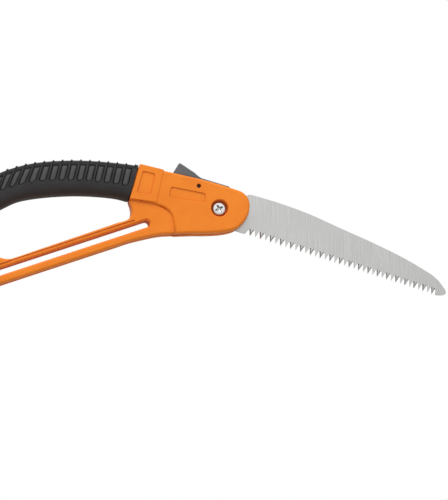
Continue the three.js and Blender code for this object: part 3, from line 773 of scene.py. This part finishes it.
def ground_lines():
    """Lines: streaks left by a grinding wheel, for a Vector stretched along them. Cloud: slow
    drift from bright to dull."""
    tree, given, result = group(
        "ground_lines", {"Vector": "Vector"}, {"Lines": "Float", "Cloud": "Float"})
    fine = wire(tree, "TexNoise", {
        "Vector": given["Vector"], "Scale": 1.0, "Detail": 5.0, "Roughness": 0.7})
    spot = wire(tree, "TexCoord").outputs["Object"]
    cloud = wire(tree, "TexNoise", {"Vector": spot, "Scale": 26.0, "Detail": 3.0})
    sharpened = wire(tree, "MapRange", {
        "Value": fine.outputs["Fac"], "From Min": 0.3, "From Max": 0.7})
    tree.links.new(sharpened.outputs["Result"], result["Lines"])
    tree.links.new(cloud.outputs["Fac"], result["Cloud"])
    return tree


LINES = ground_lines()
LINE_DEPTH = 0.006
RING_FINENESS = 5200.0


def steel(name, dark, bright, rough, stretch=None):
    """A metal with ground lines: straight ones when stretch gives how fine they are along each
    axis, and else rings round the pivot. Edges shine, and shade is painted dark into the corners."""
    made, tree, shader = blank(name, Metallic=1.0)
    spot = wire(tree, "TexCoord").outputs["Object"]
    if stretch:
        path = wire(tree, "Mapping", {"Vector": spot, "Scale": stretch}).outputs["Vector"]
    else:
        centred = wire(
            tree, "Mapping", {"Vector": spot, "Location": -Vector(PIVOT)}).outputs["Vector"]
        parts = wire(tree, "SeparateXYZ", {0: centred}).outputs
        flat = wire(tree, "CombineXYZ", {0: parts[0], 2: parts[2]}).outputs[0]
        radius = wire(tree, "VectorMath", {0: flat}, operation="LENGTH").outputs["Value"]
        rings = wire(tree, "CombineXYZ", {0: radius, 1: parts[1]}).outputs[0]
        path = wire(
            tree, "VectorMath", {0: rings, "Scale": RING_FINENESS}, operation="SCALE").outputs[0]
    ground = effect(tree, LINES, Vector=path)
    tone = blend_colour(tree, ground["Lines"], dark, bright)
    # The second tuple paints shade: a near-black colour laid into corners and gaps.
    used = aged(
        tree, tone, (0.25, 0.6, (0.92, 0.92, 0.9, 1)), (2, 0.9, (0.03, 0.028, 0.025, 1)))
    both = wire(tree, "Math", {0: ground["Lines"], 1: ground["Cloud"]}, operation="ADD")
    span = wire(tree, "MapRange", {
        "Value": both.outputs[0], "From Max": 2.0, "To Min": rough[0], "To Max": rough[1]})
    join(tree, shader, used, span, ground["Lines"], 0.3, LINE_DEPTH)
    return made


ground_steel = steel(
    "ground_steel", (0.42, 0.42, 0.41, 1), (0.61, 0.605, 0.59, 1), (0.3, 0.44),
    stretch=(1500, 1500, 26))
fit(saw_blade(), "blade", "blade", ground_steel)

# ---------------------------------------------------------------- pivot
# A zinc-plated pan-head bolt through a turned brass bush, between two brass washers,
# carries the blade. A plate washer and a hexagon nut hold it in the far side's recess.
BOLT = {"head": 5.5, "front": -7.4, "seat": -5.2, "shank": 3.1, "end": 10.1, "thread_from": 4.9}
NUT = {"across": 10.0, "low": 6.1, "high": 10.1}
CROSS = {"reach": 3.4, "half": 0.8, "deep": 1.7, "turn": math.radians(28)}
THREAD = {"pitch": 0.8, "deep": 0.32}
HEAD = {"dome": 0.35, "rim": 1.0}          # how far the dome falls, and the rim's depth
CROSS_TAPER = {"middle": 1.25, "lost": 0.45}   # a bar's width in shares, along its reach
CROSS_RISE = 0.55                          # share of its depth lost by the end of a bar
DOME_STEPS, THREAD_STEPS = 34, 44
NUT_CHAMFER = (0.0, 0.12, 0.3, 0.6)        # heights where its corners are cut back
ROUND_STEPS = 96


def turned(name, profile, centre=(0, 0), steps=ROUND_STEPS, relief=None, sharp=32):
    """A profile of (radius, y) points carried round an axis along y. Relief, a function of
    (radius, y, angle), moves the surface by (radius, y)."""
    profile = np.asarray(profile, float)
    angle = np.linspace(0, 2 * np.pi, steps + 1)[None, :]
    radius = np.broadcast_to(profile[:, :1], (len(profile), steps + 1))
    y = np.broadcast_to(profile[:, 1:], radius.shape)
    if relief:
        outwards, along = relief(radius, y, angle)
        radius, y = radius + outwards, y + along
    sheet = np.stack(
        [centre[0] + radius * np.cos(angle), y, centre[1] + radius * np.sin(angle)], -1)
    sheet[:, -1] = sheet[:, 0]
    return surface(name, sheet, sharp=sharp)


def collar(outer, inner, low, high, broken=0.15):
    """The closed profile of a washer or a bush, with all four edges broken."""
    return [
        (inner + broken, low), (outer - broken, low), (outer, low + broken),
        (outer, high - broken), (outer - broken, high), (inner + broken, high),
        (inner, high - broken), (inner, low + broken), (inner + broken, low)]


def cross_cut(facing, level, reach, half, deep, turn):
    """A relief that presses a cross slot into a screw head above a level, deepest in the
    middle: two bars at right angles, which narrow outwards, with sloping walls. Facing is
    the side that the head looks to."""
    def past_bar(along, across):
        """How far a place lies outside one bar, by its absolute place on the bar's axes."""
        width = half * (CROSS_TAPER["middle"] - CROSS_TAPER["lost"] * along / reach)
        return np.maximum(along - reach, across - width)

    def relief(radius, y, angle):
        x, z = radius * np.cos(angle), radius * np.sin(angle)
        u = np.abs(x * math.cos(turn) + z * math.sin(turn))
        v = np.abs(z * math.cos(turn) - x * math.sin(turn))
        inside = ease(np.minimum(past_bar(u, v), past_bar(v, u)), 0.1, -0.25)
        floor = deep * (1 - CROSS_RISE * np.clip(radius / reach, 0, 1) ** 2)
        on_head = (facing * y) > facing * level
        return 0, -facing * inside * floor * on_head
    return relief


def screw(name, centre, facing, slot, head, front, seat, shank, end, thread_from,
          steps=ROUND_STEPS):
    """A pan-head screw as one turned skin: domed head, rim, seat, shank, thread and tip.
    The dome falls with the fourth power of the radius, and the thread is a helical ripple
    of the shank. Facing is -1 or 1, the head's side."""
    across = np.linspace(0, 1, DOME_STEPS)[:-1] * 0.93
    dome = [(head * r, front - facing * HEAD["dome"] * r**4) for r in across]
    rim_level = front - facing * HEAD["rim"]
    rim = [(head * 0.97, front - facing * 0.62), (head, rim_level),
           (head, seat + facing * 0.1), (head - 0.12, seat)]
    neck = [(shank + 0.25, seat), (shank, seat - facing * 0.3), (shank, thread_from)]
    thread_levels = np.linspace(thread_from, end + facing * 0.5, THREAD_STEPS)[1:]
    threaded = [(shank, y) for y in thread_levels]
    tip = [(shank - 0.55, end), (0, end)]
    cut = cross_cut(facing, rim_level, **slot)

    def relief(radius, y, angle):
        outwards, along = cut(radius, y, angle)
        on_shank = (radius > shank - 0.1) & (radius < shank + 0.1)
        on_thread = (facing * y < facing * thread_from) & on_shank
        wave = np.abs(((y / THREAD["pitch"] + angle / (2 * np.pi)) % 1) * 2 - 1)
        return outwards - THREAD["deep"] * wave * on_thread, along

    return turned(name, dome + rim + neck + threaded + tip, centre, steps, relief)


def hexagon_nut(name):
    """A nut: the outside is the lesser of a hexagon's reach at each angle and a cone that
    cuts its corners at both ends. The bore is turned."""
    flat = NUT["across"] / 2
    corner = flat / math.cos(math.pi / 6)
    bore = BOLT["shank"] + 0.3
    low, high = NUT["low"], NUT["high"]
    levels = [low + cut for cut in NUT_CHAMFER] + [high - cut for cut in NUT_CHAMFER[::-1]]
    profile = [(bore + 0.3, low)] + [(corner, level) for level in levels] + [
        (bore + 0.3, high), (bore, high - 0.3), (bore, low + 0.3), (bore + 0.3, low)]

    def relief(radius, y, angle):
        sector = (angle + np.pi / 6) % (np.pi / 3) - np.pi / 6
        hexagon = flat / np.cos(sector)
        cone = flat - 0.1 + 1.8 * np.minimum(y - low, high - y)
        on_side = radius > corner - 0.01
        return np.where(on_side, np.minimum(hexagon, cone) - radius, 0), 0

    return turned(name, profile, relief=relief, sharp=20)


zinc = steel("bright_zinc", (0.52, 0.52, 0.52, 1), (0.80, 0.79, 0.77, 1), (0.2, 0.34))
brass = steel("turned_brass", (0.42, 0.26, 0.09, 1), (0.62, 0.42, 0.17, 1), (0.3, 0.45))
fit(screw("cross_bolt", (0, 0), -1, CROSS, **BOLT), "handle", "pivot_bolt", zinc)
for name, node, slot, finish, sizes in (    # sizes: outer and inner radius, low and high end
    ("bronze_bush", "pivot_bush", "bearing_brass", brass, (5.0, 3.4, -4.9, 4.9)),
    ("near_bearing_ring", "near_washer", "bearing_brass", brass, (9.5, 5.2, -1.8, -0.85)),
    ("far_bearing_ring", "far_washer", "bearing_brass", brass, (9.5, 5.2, 0.85, 1.8)),
    ("plate_ring", "nut_washer", "zinc_steel", zinc, (6.4, 3.4, 5.2, 5.8)),
):
    fit(turned(name, collar(*sizes)), "handle", node, finish)
fit(hexagon_nut("hexagon_nut"), "handle", "pivot_nut", zinc)

# ---------------------------------------------------------------- casing screws
# Five small cross-slotted screws go in from the far side and draw the two shells together.
SCREW = {"head": 3.0, "front": 7.5, "seat": 5.5, "shank": 1.4, "end": -6.5, "thread_from": 3.0}
SCREW_CROSS = {"reach": 1.75, "half": 0.36, "deep": 0.95}
SCREW_TURN = math.radians(37)              # each cross is turned this much past the last one


def axis_of(node):
    """The (x, z) of a round node's axis, in millimetres from the pivot."""
    low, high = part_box(node)
    middle = ((np.array(low) + np.array(high)) / 2 - PIVOT) / MM
    return middle[0], middle[2]


for number in range(1, 6):
    node = f"casing_screw_{number}"
    slot = dict(SCREW_CROSS, turn=SCREW_TURN * number)
    fit(screw(f"shell_screw_{number}", axis_of(node), 1, slot, steps=64, **SCREW),
        "handle", node, zinc)

# ---------------------------------------------------------------- lock lever
# A grey nylon thumb lever on a steel pin, sprung up at its pad. A blackened steel catch is
# riveted into its fork and drops into a notch of the tang.
def grey_nylon():
    """Fine satin grey moulding, polished along its edges by the thumb, with shade painted dark into
    its corners.
    """
    made, tree, shader = blank("grey_nylon", Specular_IOR_Level=0.45)
    grain = effect(tree, GRAIN, Scale=2200.0)
    tone = drifting_tone(tree, grain, (0.108, 0.112, 0.116, 1), (0.135, 0.139, 0.143, 1))
    # The second tuple paints shade: a near-black colour laid into corners and gaps.
    used = aged(
        tree, tone, (0.5, 0.5, (0.30, 0.31, 0.32, 1)), (3, 0.8, (0.012, 0.012, 0.013, 1)))
    rough = wire(tree, "MapRange", {"Value": grain["Mottle"], "To Min": 0.4, "To Max": 0.55})
    join(tree, shader, used, rough, grain["Height"], 0.3, GRAIN_DEPTH)
    return made


def rod_profile(radius, half, dome=0.25):
    """A plain pin's profile, with slightly domed ends."""
    turn = np.linspace(0, math.pi / 2, 7)
    end = [(radius * math.sin(t), half - dome + dome * math.cos(t)) for t in turn]
    return end + [(r, -y) for r, y in reversed(end)]


black_steel = steel(
    "blackened_steel", (0.028, 0.028, 0.030, 1), (0.07, 0.07, 0.073, 1), (0.34, 0.5),
    stretch=(900, 40, 2400))
fit(moulding("thumb_lever", "lock_lever"), "lock", "lock_lever", grey_nylon())
catch = moulding("steel_catch", "lock_catch", edge_break=0.15)
fit(catch, "lock", "lock_catch", black_steel)
for name, body, node, slot, finish, radius, half in (
    ("catch_stud", "lock", "catch_rivet", "zinc_steel", zinc, 1.1, 4.7),
    ("lever_axle", "handle", "lever_pin", "dark_steel", black_steel, 1.5, 8.6),
    ("open_stop", "handle", "open_stop_pin", "dark_steel", black_steel, 1.5, 7.0),
    ("fold_stop", "handle", "fold_stop_pin", "dark_steel", black_steel, 1.5, 7.0),
):
    fit(turned(name, rod_profile(radius, half), axis_of(node), steps=48), body, node, finish)

# ---------------------------------------------------------------- lever spring
# A coil of bright spring wire under the lever's pad, with a closed turn at each end. The real
# spring shortens as the lever is pressed; this one is built at one length.
COIL = {"radius": 2.5, "wire": 0.4, "turns": 5.0, "low": 19.2, "high": 26.2}
COIL_STEPS, WIRE_STEPS = 320, 16
CLOSED_TURN = 0.8                          # how much of a turn is closed at each end
CLOSED_PITCH = 0.5


def coil_spring(name):
    """Wire of round section carried along a helix. It rises slowly over the closed turn at
    each end and evenly between them, and both wire ends close in a dome."""
    x = axis_of("lever_spring")[0]
    t = np.linspace(0, 1, COIL_STEPS + 1)
    turn = t * COIL["turns"]
    bottom, top = COIL["low"] + COIL["wire"], COIL["high"] - COIL["wire"]
    from_end = CLOSED_PITCH * np.minimum(turn, COIL["turns"] - turn).clip(0, CLOSED_TURN)
    free = np.clip((turn - CLOSED_TURN) / (COIL["turns"] - 2 * CLOSED_TURN), 0, 1)
    closed_lift = CLOSED_PITCH * CLOSED_TURN
    rise = np.select(
        [turn < CLOSED_TURN, turn > COIL["turns"] - CLOSED_TURN],
        [bottom + from_end, top - from_end],
        bottom + closed_lift + free * (top - bottom - 2 * closed_lift))
    angle = 2 * np.pi * turn
    path = np.stack(
        [x + COIL["radius"] * np.cos(angle), COIL["radius"] * np.sin(angle), rise], -1)
    ahead = np.gradient(path, axis=0)
    ahead /= np.linalg.norm(ahead, axis=1)[:, None]
    outwards = np.stack([np.cos(angle), np.sin(angle), np.zeros_like(angle)], -1)
    across = np.cross(ahead, outwards)
    around = np.linspace(0, 2 * np.pi, WIRE_STEPS + 1)[None, :, None]
    ends = np.minimum(t, 1 - t) / (t[1] * 3)
    wire_radius = COIL["wire"] * np.sqrt(1 - (1 - ends.clip(0, 1)) ** 2)[:, None, None]
    section = np.cos(around) * outwards[:, None] + np.sin(around) * across[:, None]
    tube = path[:, None] + wire_radius * section
    tube[:, -1] = tube[:, 0]
    return surface(name, tube)


spring = coil_spring("pad_spring")
spring_steel = steel(
    "spring_wire", (0.45, 0.45, 0.45, 1), (0.72, 0.71, 0.7, 1), (0.25, 0.38),
    stretch=(900, 900, 900))
fit(spring, "handle", "lever_spring", spring_steel)
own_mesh(spring)
